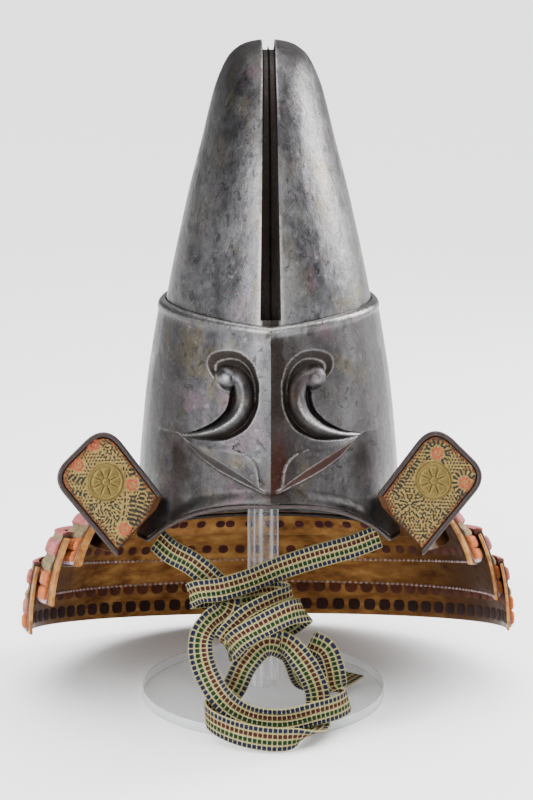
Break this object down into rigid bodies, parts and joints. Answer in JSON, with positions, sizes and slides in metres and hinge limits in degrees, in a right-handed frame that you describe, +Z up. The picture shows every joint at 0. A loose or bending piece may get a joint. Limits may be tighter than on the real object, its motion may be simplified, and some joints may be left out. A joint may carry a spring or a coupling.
{
  "type": "samurai helmet on a display stand",
  "caption": "Tall cleft iron samurai helmet with embossed brow, laced neck guard, side wings and braided chin cord, held on a clear disc and post stand.",
  "frame": {"origin": "centre of the stand base's underside, on the floor", "axes": "+Z up along the stand's post, -Y the way the helmet faces, +X to the right of the viewer in front"},
  "size_m": [0.4456, 0.3386, 0.5838],
  "materials": {
    "lacquered_iron": "worn silver-grey lacquer, semi gloss",
    "dark_edge": "glossy dark purple-brown lacquer",
    "gold_lacquer": "worn gold-brown lacquer, semi gloss",
    "silk_lacing": "faded pink and orange silk braid",
    "printed_leather": "smoked leather with a fine dark print",
    "brass": "aged, satin",
    "chin_braid": "flat woven braid, cream with navy, green and brown lines",
    "clear_acrylic": "clear, polished"
  },
  "bodies": {
    "root": {"cap": "lacquered_iron", "brow_band": "lacquered_iron", "brow_rim": "dark_edge", "lame_1": "gold_lacquer", "lame_2": "gold_lacquer", "lame_3": "gold_lacquer", "lame_4": "gold_lacquer", "lacing_2": "silk_lacing", "lacing_3": "silk_lacing", "lacing_4": "silk_lacing", "wing_rim_left": "dark_edge", "wing_rim_right": "dark_edge", "leather_left": "printed_leather", "leather_right": "printed_leather", "crest_left": "brass", "crest_right": "brass", "chin_cord_left": "chin_braid", "chin_cord_right": "chin_braid", "stand_base": "clear_acrylic", "stand_post": "clear_acrylic", "stand_plate": "clear_acrylic"}
  },
  "joints": []
}
